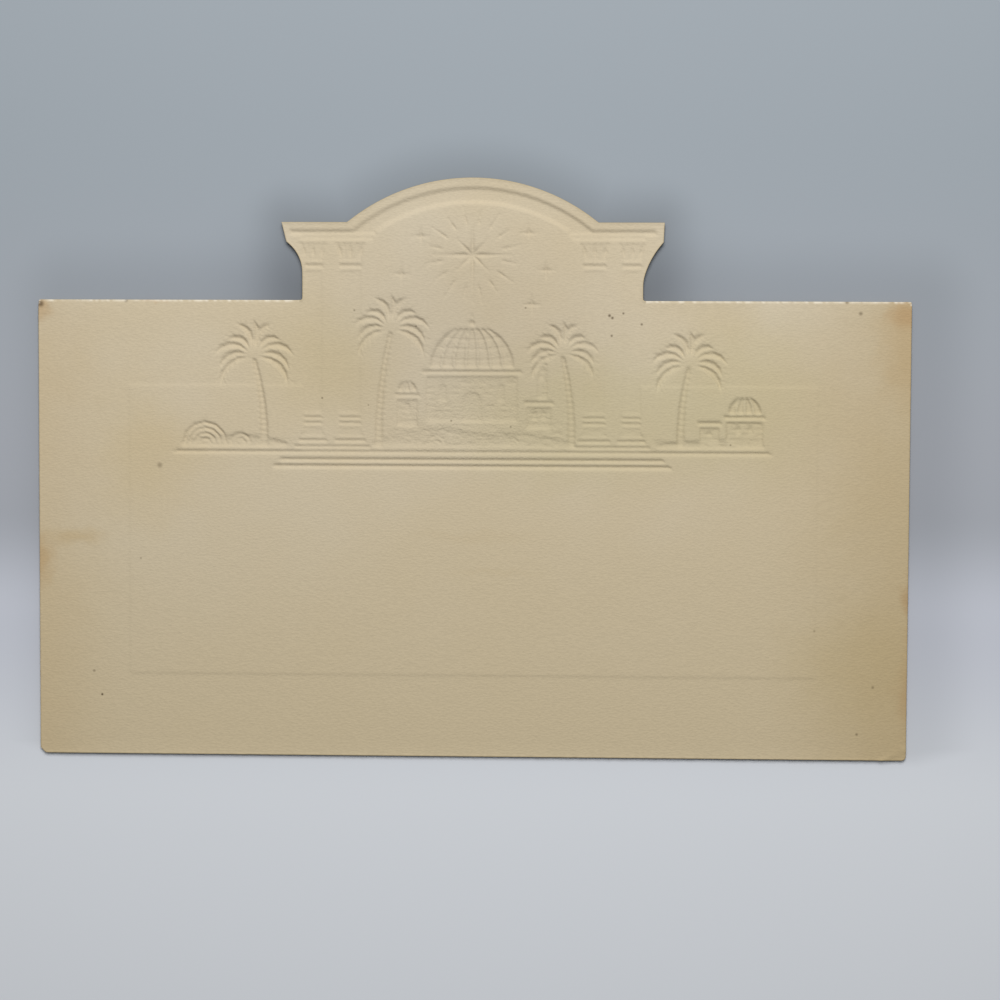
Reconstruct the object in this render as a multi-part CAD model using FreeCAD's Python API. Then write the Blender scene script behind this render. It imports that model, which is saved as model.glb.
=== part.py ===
import FreeCAD, Part
import math
import os
from FreeCAD import Vector

# A die-cut greeting card: one sheet of stiff cream card, pressed between two dies.
# The front stands out in relief and the back shows the same relief sunk in.
# The card lies on its front with its back up, as it would come to rest.
# X runs along the card, Y towards its arched crown and Z up, out of the back.
# The origin is under the middle of the card, on the surface that it lies on.

# The sheet, in millimetres
card_width = 152.4
body_height = 80.0
sheet_thickness = 0.5

# The crown, which rises from the middle of the body's top edge
crown_rise = 21.3
arch_half_span = 21.9
arch_rise = 7.75
cornice_half_width = 33.35
cornice_lip_height = 3.4
neck_half_width = 29.7
notch_radius = 0.4

# The crown's left and right sides, which the die cut a little unlike
lip_slants = (0.85, 0.15)
sweep_heights = (5.0, 6.75)
sweep_sags = (0.66, 0.50)

# Handling wear at the four corners of the body
top_left_wear = 0.35
top_right_wear = 0.3
bottom_left_wear = 0.9
bottom_right_wear = 0.7

# How deep the dies press each kind of form into the back
moulding_depth = 0.40
frieze_depth = 0.20
roof_depth = 0.30
step_depth = 0.32
capital_depth = 0.10
capital_leaf_depth = 0.26
shaft_depth = 0.10
ring_depth = 0.25
base_depth = 0.36
hill_depth = 0.14
wall_depth = 0.22
dome_depth = 0.34
doorway_depth = 0.38
leaf_depth = 0.36
trunk_depth = 0.32
star_depth = 0.40
ray_depth = 0.28

# Width of the sloping wall round a pressed form
moulding_slope = 0.70
fine_slope = 0.22
leaf_slope = 0.16
widest_wall_share = 0.7
facet_floor_share = 0.15

# How many flat facets stand for each small curve
opening_facets = 5
mound_facets = 12
bell_facets = 3
leaf_facets = 2
gore_facets = 4
dome_closure = 0.74
ball_facets = 8
trunk_facets = 4
frond_facets = 4
shrub_facets = 6
least_turn = 1e-6

# The plate-sunk panel, raised on the back
panel_width = 120.4
panel_height = 50.8
panel_drop = 14.8
panel_rise = 0.08

# The mouldings that follow the crown's edge
rim_width = 1.35
archivolt_width = 3.3
cornice_rim = 1.05
cornice_side_margin = 1.1
cornice_band_height = 1.5
cornice_band_return = 16.4
frieze_overlap = 0.5
frieze_height = 1.1
frieze_outer_margin = 3.2
frieze_inner_end = 17.2

# The paired columns on each side, placed from the neck's edge inwards
column_edge_margin = 0.2
outer_shaft_width = 3.4
column_gap = 2.8
inner_shaft_width = 4.0
capital_height = 3.3
capital_flare = 1.1
capital_gap = 0.35
astragal_height = 0.9
astragal_overhang = 0.1
joint_gap = 0.3
leaves_per_capital = 3

# The base of the columns and the steps below them
ground_below_body_top = 26.23
ground_height = 0.52
ground_half_length = 52.85
ground_end_slant = 1.2
plinth_height = 0.35
plinth_gap = 0.55
plinth_overhang = 1.6
pedestal_height = 2.8
pedestal_foot = 0.6
pedestal_knee = 1.0
pedestal_spread = 0.9
base_bar_height = 0.45
base_bar_gap = 0.5
base_bars = 2
step_gap = 0.75
upper_step_height = 0.66
lower_step_gap = 0.47
lower_step_height = 0.72
upper_step_half_length = 34.1
lower_step_half_length = 35.3
step_end_slant = 0.8

# Leaves, ribs and openings, as shares of the form that carries them
leaf_width_share = 0.4
capital_hollow_share = 0.25
shrub_rib_share = 0.62
opening_share = 0.8
needle_share = 0.45
needle_middle_share = 0.25
star_middle_share = 0.3

# The low ground of the picture
hill_margin = 1.6
hill_rises = (3.4, 2.6)
hill_reach_shares = (0.35, 0.2)
strip_hill_rises = (2.2, 1.6)
strip_hill_margins = (1.0, 0.6)
mound_shoulder = 0.9

# The domed hall
hall_width = 16.2
hall_height = 8.2
hall_floor = 4.4
roof_bar_height = 0.75
roof_overhang = 0.7
dome_radius = 7.5
dome_gores = 7
gore_gap = 0.22
door_width = 3.6
door_height = 5.6
window_width = 1.5
window_height = 3.2
window_drop = 1.4
window_offset = 5.1
finial_radius = 0.6
finial_spike = 2.0

# The lower wings on its left and right, and the tower on the right one
left_wing_width = 3.8
left_wing_height = 4.8
left_wing_drop = 0.7
cupola_radius = 1.8
cupola_gores = 3
right_wing_width = 4.6
right_wing_height = 3.9
right_wing_drop = 1.1
tower_width = 2.0
tower_height = 6.4
tower_offset = 1.9
tower_dome_radius = 1.2
tower_dome_gores = 2

# The houses on the right strip: left end, height over the base, width, wall height and windows
strip_houses = [(39.6, 0.8, 3.6, 3.0, 1), (44.2, 0.6, 6.6, 4.2, 2)]
strip_dome_radius = 3.0
strip_dome_gores = 4

# The star over the hall, its glory and the small stars beside it
star_height = 33.6
star_long_ray = 7.2
star_tail = 8.6
star_short_ray = 4.2
star_waist = 1.6
glory_inner = 5.2
glory_outer = 7.8
glory_width = 0.6
glory_turn_gain = 0.9
glory_middle = 0.8
small_star_radius = 1.8
small_stars = [(-12.4, -3.4), (-9.0, 3.2), (9.8, 3.8), (12.8, -2.6), (10.4, -8.6)]

# The palms: foot, height of the trunk, lean and reach of the crown
palms = [(-16.2, 20.2, 2.0, 7.0), (17.4, 16.0, -1.6, 6.6), (-36.4, 15.5, -1.8, 7.2), (36.4, 14.2, 1.4, 6.8)]
frond_count = 11
frond_fan = 250.0
frond_droop = 0.30
frond_width = 1.15
frond_root_share = 0.16
frond_flatness = 0.92
frond_turn_loss = 0.14
frond_arch_share = 0.10
frond_arch_gain = 0.12
heart_rise = 0.9
trunk_foot_width = 1.5
trunk_top_width = 0.9
trunk_bow = 0.35

# The shrubs: middle, height over the base, radius and ribs
shrubs = [(-46.8, 0.5, 4.0, 4), (-40.6, 0.6, 2.0, 2), (-6.2, 0.6, 1.7, 2), (7.0, 0.5, 1.5, 2)]
shrub_core_share = 0.3

# Heights worked out from the sizes above
half_width = card_width / 2
body_bottom = -(body_height + crown_rise) / 2
body_top = body_bottom + body_height
arch_top = body_top + crown_rise
cornice_top = arch_top - arch_rise
arch_radius = (arch_half_span ** 2 + arch_rise ** 2) / (2 * arch_rise)
arch_centre = arch_top - arch_radius
ground_top = body_top - ground_below_body_top
depths = [moulding_depth, frieze_depth, roof_depth, step_depth, capital_depth, capital_leaf_depth]
depths += [shaft_depth, ring_depth, base_depth]
depths += [hill_depth, wall_depth, dome_depth, doorway_depth, leaf_depth, trunk_depth]
depths += [star_depth, ray_depth]
front_face = max(depths)
back_face = front_face + sheet_thickness
press_overrun = panel_rise + 0.05

# The way that corners are joined when an outline is drawn in
TANGENT_JOIN = 1


def line(start, end):
    return Part.LineSegment(Vector(*start, 0), Vector(*end, 0)).toShape()


def arc(start, middle, end):
    return Part.Arc(Vector(*start, 0), Vector(*middle, 0), Vector(*end, 0)).toShape()


def arc_points(start, end, sag, steps):
    """Evenly spaced points on the arc from start to end, without its end point."""
    run_x = end[0] - start[0]
    run_y = end[1] - start[1]
    half_run = math.hypot(run_x, run_y) / 2
    half_turn = 2 * math.atan2(sag, half_run)
    if abs(half_turn) < least_turn:
        return [(start[0] + run_x * n / steps, start[1] + run_y * n / steps) for n in range(steps)]
    radius = half_run / math.sin(half_turn)
    along = (run_x / half_run / 2, run_y / half_run / 2)
    points = []
    for n in range(steps):
        turn = half_turn * (2 * n / steps - 1)
        forward = half_run + radius * math.sin(turn)
        left = radius * (math.cos(turn) - math.cos(half_turn))
        x = start[0] + along[0] * forward - along[1] * left
        y = start[1] + along[1] * forward + along[0] * left
        points.append((x, y))
    return points


def bar(left, right, bottom, top, slant=0.0):
    """A flat moulding seen from the back, with both ends cut on the slant."""
    return [(left, bottom), (right, bottom), (right - slant, top), (left + slant, top)]


def arched_opening(centre, floor, width, height):
    half = width / 2
    spring = floor + height - half
    points = [(centre - half, floor), (centre + half, floor)]
    points += arc_points((centre + half, spring), (centre - half, spring), -half, opening_facets)
    return points + [(centre - half, spring)]


def crescent(root, tip, outer_sag, inner_sag, steps):
    return arc_points(root, tip, outer_sag, steps) + arc_points(tip, root, -inner_sag, steps)


def mound(left, right, floor, rise):
    """A low hill: an arc that springs from a small shoulder over a straight foot."""
    spring = floor + mound_shoulder
    points = [(left, floor), (right, floor)]
    points += arc_points((right, spring), (left, spring), mound_shoulder - rise, mound_facets)
    return points + [(left, spring)]


def half_ring(centre, floor, outer, inner, steps):
    """The upper half of a flat ring that stands on its two ends."""
    points = arc_points((centre + outer, floor), (centre - outer, floor), -outer, steps)
    points += [(centre - outer, floor)]
    points += arc_points((centre - inner, floor), (centre + inner, floor), inner, steps)
    return points + [(centre + inner, floor)]


def ring_points(centre_x, centre_y, radius, sides):
    turns = [2 * math.pi * (n + 0.5) / sides for n in range(sides)]
    return [(centre_x + radius * math.sin(turn), centre_y + radius * math.cos(turn)) for turn in turns]


def star_points(centre_x, centre_y, reaches, waist):
    """Points and waists of a star in turn, from the top point clockwise."""
    points = []
    step = math.pi / len(reaches)
    for index, reach in enumerate(reaches):
        for turn, radius in ((2 * index, reach), (2 * index + 1, waist)):
            angle = turn * step
            points.append((centre_x + radius * math.sin(angle), centre_y + radius * math.cos(angle)))
    return points


def double_area(points):
    """Twice the area inside the points, positive where they run anticlockwise."""
    return sum(a[0] * b[1] - b[0] * a[1] for a, b in zip(points, points[1:] + points[:1]))


def inward(start, end):
    """Unit normal on the left of an edge, which is inside an anticlockwise outline."""
    run = math.hypot(end[0] - start[0], end[1] - start[1])
    return ((start[1] - end[1]) / run, (end[0] - start[0]) / run)


def drawn_in(points, wall):
    """The outline moved inwards by the width of its wall, with mitred corners."""
    moved = []
    for index, point in enumerate(points):
        before = inward(points[index - 1], point)
        after = inward(point, points[(index + 1) % len(points)])
        spread = 1 + before[0] * after[0] + before[1] * after[1]
        shift = wall / spread
        moved.append((point[0] + (before[0] + after[0]) * shift, point[1] + (before[1] + after[1]) * shift))
    return moved


def walled(mouth_points, floor_points, depth):
    """A solid between a mouth just over the back and a floor sunk below it, in flat walls."""
    mouth = [Vector(x, y, back_face + press_overrun) for x, y in mouth_points]
    floor = [Vector(x, y, back_face - depth) for x, y in floor_points]
    faces = [Part.Face(Part.makePolygon(ring + ring[:1])) for ring in (mouth, floor)]
    for n in range(len(mouth)):
        corners = [mouth[n - 1], mouth[n], floor[n], floor[n - 1], mouth[n - 1]]
        faces.append(Part.Face(Part.makePolygon(corners)))
    solid = Part.Solid(Part.Shell(faces))
    if solid.Volume < 0:
        solid.reverse()
    return solid


def widest_wall(points):
    """The widest wall that still leaves every edge of the outline some length."""
    limit = math.inf
    unit = drawn_in(points, 1.0)
    for n in range(len(points)):
        full = math.dist(points[n - 1], points[n])
        along = [(points[n][axis] - points[n - 1][axis]) / full for axis in (0, 1)]
        left = sum((unit[n][axis] - unit[n - 1][axis]) * along[axis] for axis in (0, 1))
        if left < full:
            limit = min(limit, widest_wall_share * full / (full - left))
    return limit


def pressed(points, depth, slope):
    """The space that one pressed form takes out of the back, with sloping walls."""
    if double_area(points) < 0:
        points = points[::-1]
    wall = min(slope, widest_wall(points))
    return walled(points, drawn_in(points, wall), depth)


def faceted(points, centre_x, centre_y, depth):
    """A pressed form whose walls run in to a tiny floor at its middle."""
    share = facet_floor_share
    floor = [(centre_x + (x - centre_x) * share, centre_y + (y - centre_y) * share) for x, y in points]
    return walled(points, floor, depth)


def crown_side(side):
    """Lip, sweep and neck on one side of the crown, from the cornice's corner down."""
    slant, sweep_height, sag = [pair[(side + 1) // 2] for pair in (lip_slants, sweep_heights, sweep_sags)]
    corner = (side * cornice_half_width, cornice_top)
    start = (side * (cornice_half_width - slant), cornice_top - cornice_lip_height)
    end = (side * neck_half_width, start[1] - sweep_height)
    run = math.dist(start, end)
    middle_x = (start[0] + end[0]) / 2 - side * sag * sweep_height / run
    middle_y = (start[1] + end[1]) / 2 + sag * abs(start[0] - end[0]) / run
    return corner, start, (middle_x, middle_y), end, (side * neck_half_width, body_top)


def die_cut_outline():
    """The card's edge, from the left end of the arch clockwise."""
    edges = [arc((-arch_half_span, cornice_top), (0, arch_top), (arch_half_span, cornice_top))]
    corner, start, middle, end, notch = crown_side(1)
    edges.append(line((arch_half_span, cornice_top), corner))
    edges.append(line(corner, start))
    edges.append(arc(start, middle, end))
    edges.append(line(end, notch))
    edges.append(line(notch, (half_width, body_top)))
    edges.append(line((half_width, body_top), (half_width, body_bottom)))
    edges.append(line((half_width, body_bottom), (-half_width, body_bottom)))
    edges.append(line((-half_width, body_bottom), (-half_width, body_top)))
    corner, start, middle, end, notch = crown_side(-1)
    edges.append(line((-half_width, body_top), notch))
    edges.append(line(notch, end))
    edges.append(arc(end, middle, start))
    edges.append(line(start, corner))
    edges.append(line(corner, (-arch_half_span, cornice_top)))
    return Part.Wire(edges)


def upright_edge(solid, x, y):
    """The edge of the sheet's thickness that stands at one point of the outline."""
    near = 0.01
    for edge in solid.Edges:
        ends = [vertex.Point for vertex in edge.Vertexes]
        if all(abs(end.x - x) < near and abs(end.y - y) < near for end in ends):
            return edge
    raise ValueError("no upright edge at the given corner")


def cut_sheet():
    """The flat blank: cut to outline, eased in the notches and worn at the corners."""
    blank = Part.Face(die_cut_outline()).extrude(Vector(0, 0, sheet_thickness))
    blank.translate(Vector(0, 0, front_face))
    notches = [upright_edge(blank, side * neck_half_width, body_top) for side in (-1, 1)]
    blank = blank.makeFillet(notch_radius, notches)
    worn = [(top_left_wear, -1, body_top), (top_right_wear, 1, body_top)]
    worn.append((bottom_right_wear, 1, body_bottom))
    for wear, side, height in worn:
        blank = blank.makeFillet(wear, [upright_edge(blank, side * half_width, height)])
    chipped = upright_edge(blank, -half_width, body_bottom)
    return blank.makeChamfer(bottom_left_wear, [chipped])


def plate_panel():
    """The panel that the plate leaves, open at the top where the picture stands."""
    left = -panel_width / 2
    right = panel_width / 2
    top = body_top - panel_drop
    bottom = top - panel_height
    inner = neck_half_width - column_edge_margin
    points = [(left, bottom), (right, bottom), (right, top), (inner, top)]
    floor = ground_top - ground_height / 2
    points += [(inner, floor), (-inner, floor), (-inner, top), (left, top)]
    corners = [Vector(x, y, 0) for x, y in points + points[:1]]
    return Part.Face(Part.makePolygon(corners)).extrude(Vector(0, 0, panel_rise))


def crown_mouldings():
    """The sunk band that runs along both cornices and over the arch, and the friezes."""
    outer_radius = arch_radius - rim_width
    inner_radius = outer_radius - archivolt_width
    band_top = cornice_top - cornice_rim
    band_bottom = band_top - cornice_band_height
    outer_x = math.sqrt(outer_radius ** 2 - (band_top - arch_centre) ** 2)
    inner_y = arch_centre + math.sqrt(inner_radius ** 2 - cornice_band_return ** 2)
    end_x = cornice_half_width - cornice_side_margin
    over = (0, arch_centre + outer_radius)
    under = (0, arch_centre + inner_radius)
    edges = [arc((-outer_x, band_top), over, (outer_x, band_top))]
    edges.append(line((outer_x, band_top), (end_x, band_top)))
    edges.append(line((end_x, band_top), (end_x, band_bottom)))
    edges.append(line((end_x, band_bottom), (cornice_band_return, band_bottom)))
    edges.append(line((cornice_band_return, band_bottom), (cornice_band_return, inner_y)))
    edges.append(arc((cornice_band_return, inner_y), under, (-cornice_band_return, inner_y)))
    edges.append(line((-cornice_band_return, inner_y), (-cornice_band_return, band_bottom)))
    edges.append(line((-cornice_band_return, band_bottom), (-end_x, band_bottom)))
    edges.append(line((-end_x, band_bottom), (-end_x, band_top)))
    edges.append(line((-end_x, band_top), (-outer_x, band_top)))
    mouth = Part.Wire(edges)
    floor = mouth.makeOffset2D(-moulding_slope, TANGENT_JOIN, False, False, False)
    mouth.translate(Vector(0, 0, back_face + press_overrun))
    floor.translate(Vector(0, 0, back_face - moulding_depth))
    forms = [Part.makeLoft([mouth, floor], True, True)]
    frieze_top = band_bottom + frieze_overlap
    frieze_bottom = frieze_top - frieze_height
    frieze_end = cornice_half_width - frieze_outer_margin
    for side in (-1, 1):
        left, right = sorted((side * frieze_inner_end, side * frieze_end))
        forms.append(pressed(bar(left, right, frieze_bottom, frieze_top), frieze_depth, fine_slope))
    return forms


def capital_top():
    frieze_top = cornice_top - cornice_rim - cornice_band_height + frieze_overlap
    return frieze_top - frieze_height - capital_gap


def capital(centre, shaft_width):
    """A flared bell with upright leaves, over its astragal."""
    top = capital_top()
    bottom = top - capital_height
    low = shaft_width / 2
    high = low + capital_flare
    hollow = capital_flare * capital_hollow_share
    bell = arc_points((centre + low, bottom), (centre + high, top), hollow, bell_facets)
    bell += [(centre + high, top)]
    bell += arc_points((centre - high, top), (centre - low, bottom), hollow, bell_facets)
    bell += [(centre - low, bottom)]
    forms = [pressed(bell, capital_depth, fine_slope)]
    leaf_pitch = shaft_width / leaves_per_capital
    for index in range(leaves_per_capital):
        offset = (index - (leaves_per_capital - 1) / 2) * leaf_pitch
        root = (centre + offset, bottom + joint_gap)
        tip = (centre + offset * high / low, top - joint_gap)
        leaf_half = leaf_pitch * leaf_width_share
        leaf = crescent(root, tip, leaf_half, -leaf_half, leaf_facets)
        forms.append(pressed(leaf, capital_leaf_depth, leaf_slope))
    ring = low + astragal_overhang
    ring_top = bottom - joint_gap
    astragal = bar(centre - ring, centre + ring, ring_top - astragal_height, ring_top)
    forms.append(pressed(astragal, ring_depth, fine_slope))
    return forms


def column_foot():
    """Height of the pedestals' feet, above the plinth and the ground line."""
    return ground_top + plinth_gap + plinth_height + plinth_gap


def column(centre, shaft_width):
    """Capital, shaft, base bars and pedestal, from the top down."""
    forms = capital(centre, shaft_width)
    half = shaft_width / 2
    foot = column_foot()
    pedestal_top = foot + pedestal_height
    base_bottom = pedestal_top + joint_gap
    for _ in range(base_bars):
        base = bar(centre - half, centre + half, base_bottom, base_bottom + base_bar_height)
        forms.append(pressed(base, base_depth, leaf_slope))
        base_bottom += base_bar_height + base_bar_gap
    shaft_top = capital_top() - capital_height - joint_gap - astragal_height - joint_gap
    shaft = bar(centre - half, centre + half, base_bottom, shaft_top)
    forms.append(pressed(shaft, shaft_depth, fine_slope))
    wide = half + pedestal_spread
    foot_top = foot + pedestal_foot
    forms.append(pressed(bar(centre - wide, centre + wide, foot, foot_top), base_depth, fine_slope))
    low = foot_top + joint_gap
    knee = low + pedestal_knee
    points = [(centre - wide, low), (centre + wide, low), (centre + half, knee)]
    points += [(centre + half, pedestal_top), (centre - half, pedestal_top), (centre - half, knee)]
    forms.append(pressed(points, shaft_depth, fine_slope))
    return forms


def columns_and_steps():
    forms = []
    outer_centre = neck_half_width - column_edge_margin - outer_shaft_width / 2
    inner_centre = outer_centre - outer_shaft_width / 2 - column_gap - inner_shaft_width / 2
    plinth_outer = outer_centre + outer_shaft_width / 2 + plinth_overhang
    plinth_inner = inner_centre - inner_shaft_width / 2 - plinth_overhang
    plinth_bottom = ground_top + plinth_gap
    for side in (-1, 1):
        forms += column(side * outer_centre, outer_shaft_width)
        forms += column(side * inner_centre, inner_shaft_width)
        left, right = sorted((side * plinth_inner, side * plinth_outer))
        plinth = bar(left, right, plinth_bottom, plinth_bottom + plinth_height)
        forms.append(pressed(plinth, base_depth, leaf_slope))
    ground_bottom = ground_top - ground_height
    reach = ground_half_length
    ground = bar(-reach, reach, ground_bottom, ground_top, ground_end_slant)
    forms.append(pressed(ground, step_depth, fine_slope))
    upper_top = ground_bottom - step_gap
    upper_bottom = upper_top - upper_step_height
    reach = upper_step_half_length
    forms.append(pressed(bar(-reach, reach, upper_bottom, upper_top, step_end_slant), step_depth, fine_slope))
    lower_top = upper_bottom - lower_step_gap
    lower_bottom = lower_top - lower_step_height
    reach = lower_step_half_length
    forms.append(pressed(bar(-reach, reach, lower_bottom, lower_top, step_end_slant), step_depth, fine_slope))
    return forms


def ribbed_dome(centre, floor, radius, gores):
    """A dome of upright gores that narrow towards its top."""
    forms = []
    edges_at = [radius * (2 * index / gores - 1) for index in range(gores + 1)]
    turns = [math.pi / 2 * dome_closure * n / gore_facets for n in range(gore_facets + 1)]
    for left, right in zip(edges_at, edges_at[1:]):
        near = left + gore_gap / 2
        far = right - gore_gap / 2
        rising = [(centre + far * math.cos(turn), floor + radius * math.sin(turn)) for turn in turns]
        falling = [(centre + near * math.cos(turn), floor + radius * math.sin(turn)) for turn in turns]
        forms.append(pressed(rising + falling[::-1], dome_depth, leaf_slope))
    return forms


def finial(centre, floor, radius, spike):
    ball = floor + radius
    forms = [pressed(ring_points(centre, ball, radius, ball_facets), dome_depth, leaf_slope)]
    start = ball + radius
    half = radius * needle_share
    needle = [(centre - half, start), (centre + half, start), (centre, start + spike)]
    forms.append(faceted(needle, centre, start + spike * needle_middle_share, ray_depth))
    return forms


def house(left, floor, width, height, windows=1):
    """A flat-roofed house: wall, roof bar and high windows."""
    forms = [pressed(bar(left, left + width, floor, floor + height), wall_depth, fine_slope)]
    roof = floor + height + joint_gap
    over = roof_overhang / 2
    top = bar(left - over, left + width + over, roof, roof + roof_bar_height)
    forms.append(pressed(top, roof_depth, fine_slope))
    pitch = width / (windows + 1)
    small_width = window_width * opening_share
    small_height = min(window_height, height / 2) * opening_share
    sill = floor + height - small_height - joint_gap * 2
    for index in range(windows):
        opening = arched_opening(left + pitch * (index + 1), sill, small_width, small_height)
        forms.append(pressed(opening, doorway_depth, leaf_slope))
    return forms


def house_top(floor, height):
    """Where the next storey or dome starts, over a house's roof bar."""
    return floor + height + roof_bar_height + joint_gap * 2


def hall(floor):
    """The hall's wall, door, windows, roof bar, ribbed dome and finial."""
    half = hall_width / 2
    forms = [pressed(bar(-half, half, floor, floor + hall_height), wall_depth, fine_slope)]
    forms.append(pressed(arched_opening(0, floor, door_width, door_height), doorway_depth, fine_slope))
    sill = floor + hall_height - window_height - window_drop
    for x in (-window_offset, window_offset):
        opening = arched_opening(x, sill, window_width, window_height)
        forms.append(pressed(opening, doorway_depth, leaf_slope))
    roof = floor + hall_height + joint_gap
    roof_half = half + roof_overhang
    forms.append(pressed(bar(-roof_half, roof_half, roof, roof + roof_bar_height), roof_depth, fine_slope))
    dome_floor = house_top(floor, hall_height)
    forms += ribbed_dome(0, dome_floor, dome_radius, dome_gores)
    dome_top = dome_floor + dome_radius * math.sin(math.pi / 2 * dome_closure)
    return forms + finial(0, dome_top + joint_gap, finial_radius, finial_spike)


def town(base):
    """The domed hall with a wing on each side, one under a cupola and one under a tower."""
    floor = base + hall_floor
    forms = hall(floor)
    wing_gap = hall_width / 2 + roof_overhang + joint_gap * 2
    left = -wing_gap - left_wing_width
    left_floor = floor - left_wing_drop
    forms += house(left, left_floor, left_wing_width, left_wing_height)
    cupola_floor = house_top(left_floor, left_wing_height)
    forms += ribbed_dome(left + left_wing_width / 2, cupola_floor, cupola_radius, cupola_gores)
    right_floor = floor - right_wing_drop
    forms += house(wing_gap, right_floor, right_wing_width, right_wing_height, 2)
    tower_left = wing_gap + tower_offset
    tower_floor = house_top(right_floor, right_wing_height)
    forms += house(tower_left, tower_floor, tower_width, tower_height)
    tower_top = house_top(tower_floor, tower_height)
    return forms + ribbed_dome(tower_left + tower_width / 2, tower_top, tower_dome_radius, tower_dome_gores)


def palm(foot_x, height, lean, crown, base):
    """A leaning trunk under a fan of drooping fronds, each one a crescent."""
    top_x = foot_x + lean
    top = base + height
    foot_half = trunk_foot_width / 2
    top_half = trunk_top_width / 2
    sag = lean * trunk_bow
    trunk = arc_points((foot_x + foot_half, base), (top_x + top_half, top), sag, trunk_facets)
    trunk += [(top_x + top_half, top)]
    trunk += arc_points((top_x - top_half, top), (foot_x - foot_half, base), -sag, trunk_facets)
    trunk += [(foot_x - foot_half, base)]
    forms = [pressed(trunk, trunk_depth, fine_slope)]
    heart = top + heart_rise
    near = crown * frond_root_share
    for index in range(frond_count):
        turn = math.radians(frond_fan * (index / (frond_count - 1) - 0.5))
        reach = crown * (1.0 - frond_turn_loss * (index % 2))
        way_x = math.sin(turn)
        way_y = math.cos(turn)
        root = (top_x + way_x * near, heart + way_y * near)
        fall = frond_droop * reach * abs(way_x)
        tip = (top_x + way_x * reach, heart + way_y * reach * frond_flatness - fall)
        side = 1 if way_x > 0 else -1
        arch = reach * (frond_arch_share + frond_arch_gain * abs(way_x))
        outer = side * (arch + frond_width / 2)
        inner = side * (arch - frond_width / 2)
        forms.append(pressed(crescent(root, tip, outer, inner, frond_facets), leaf_depth, leaf_slope))
    return forms


def shrub(centre, floor, radius, ribs):
    """A low bush drawn as nested arcs."""
    forms = []
    pitch = radius / (ribs + shrub_core_share)
    for index in range(ribs):
        outer = radius - index * pitch
        rib = half_ring(centre, floor, outer, outer - pitch * shrub_rib_share, shrub_facets)
        forms.append(pressed(rib, leaf_depth, leaf_slope))
    return forms


def hills(base):
    """Low ground that swells behind the town and along both strips."""
    field = neck_half_width - column_edge_margin - outer_shaft_width - column_gap - inner_shaft_width
    edge = field - hill_margin
    left_hill = mound(-edge, edge * hill_reach_shares[0], base, hill_rises[0])
    right_hill = mound(-edge * hill_reach_shares[1], edge, base, hill_rises[1])
    forms = [pressed(left_hill, hill_depth, fine_slope), pressed(right_hill, hill_depth, fine_slope)]
    strip_start = neck_half_width + plinth_overhang + strip_hill_margins[0]
    strip_end = ground_half_length - ground_end_slant - strip_hill_margins[1]
    for side, rise in zip((-1, 1), strip_hill_rises):
        left, right = sorted((side * strip_start, side * strip_end))
        forms.append(pressed(mound(left, right, base, rise), hill_depth, fine_slope))
    return forms


def glory(centre, rays):
    """Thin rays, turn and turn about short and long, round the star."""
    forms = []
    for index in range(rays):
        angle = 2 * math.pi * (index + 0.5) / rays
        way = Vector(math.sin(angle), math.cos(angle), 0)
        across = Vector(way.y, -way.x, 0) * (glory_width / 2)
        root = Vector(0, centre, 0) + way * glory_inner
        tip = Vector(0, centre, 0) + way * (glory_outer + glory_turn_gain * (index % 2))
        middle = root + way * glory_middle
        points = [(p.x, p.y) for p in (root - across, tip, root + across)]
        forms.append(faceted(points, middle.x, middle.y, ray_depth))
    return forms


def sky(base):
    """The faceted star, its glory and the small stars round it."""
    centre = base + star_height
    reaches = [star_long_ray, star_short_ray, star_long_ray, star_short_ray]
    reaches += [star_tail, star_short_ray, star_long_ray, star_short_ray]
    forms = [faceted(star_points(0, centre, reaches, star_waist), 0, centre, star_depth)]
    forms += glory(centre, 2 * len(reaches))
    reaches = [small_star_radius] * 4
    for x, y in small_stars:
        points = star_points(x, centre + y, reaches, small_star_radius * star_middle_share)
        forms.append(faceted(points, x, centre + y, trunk_depth))
    return forms


def picture():
    base = ground_top + plinth_gap
    forms = hills(base) + town(base) + sky(base)
    for foot_x, height, lean, crown in palms:
        forms += palm(foot_x, height, lean, crown, base)
    for centre, lift, radius, ribs in shrubs:
        forms += shrub(centre, base + lift, radius, ribs)
    for left, lift, width, height, windows in strip_houses:
        forms += house(left, base + lift, width, height, windows)
    left, lift, width, height, windows = strip_houses[-1]
    dome_floor = house_top(base + lift, height)
    return forms + ribbed_dome(left + width / 2, dome_floor, strip_dome_radius, strip_dome_gores)


def card():
    sheet = cut_sheet()
    raised = plate_panel().translated(Vector(0, 0, back_face))
    sunk = plate_panel().translated(Vector(0, 0, front_face))
    sheet = sheet.fuse(raised).cut(sunk)
    forms = crown_mouldings() + columns_and_steps() + picture()
    through = Vector(0, 0, -sheet_thickness)
    sheet = sheet.fuse([form.translated(through) for form in forms])
    sheet = sheet.cut(forms).removeSplitter()
    print("pressed forms", len(forms), "faces", len(sheet.Faces), "valid", sheet.isValid())
    return sheet.Solids[0]


os.makedirs("parts", exist_ok=True)
made = card()
size = made.BoundBox
print("size", round(size.XLength, 2), round(size.YLength, 2), round(size.ZLength, 3))
print("solids", len(made.Solids), "volume", round(made.Volume, 1))
made.exportStep("parts/card.step")
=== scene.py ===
# %% [markdown]
# # An embossed card, seen from its back
# This lesson dresses one sheet of old cream card. It was cut to its outline with a die and
# pressed between two plates, so every form that stands out on its front is sunk in its back.
# The back is up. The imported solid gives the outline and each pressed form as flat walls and
# floors. Real card is stiff and felted: it rounds every wall that the plates press into it,
# and that softness is what the eye reads as paper.

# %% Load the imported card
import math
import random

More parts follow.
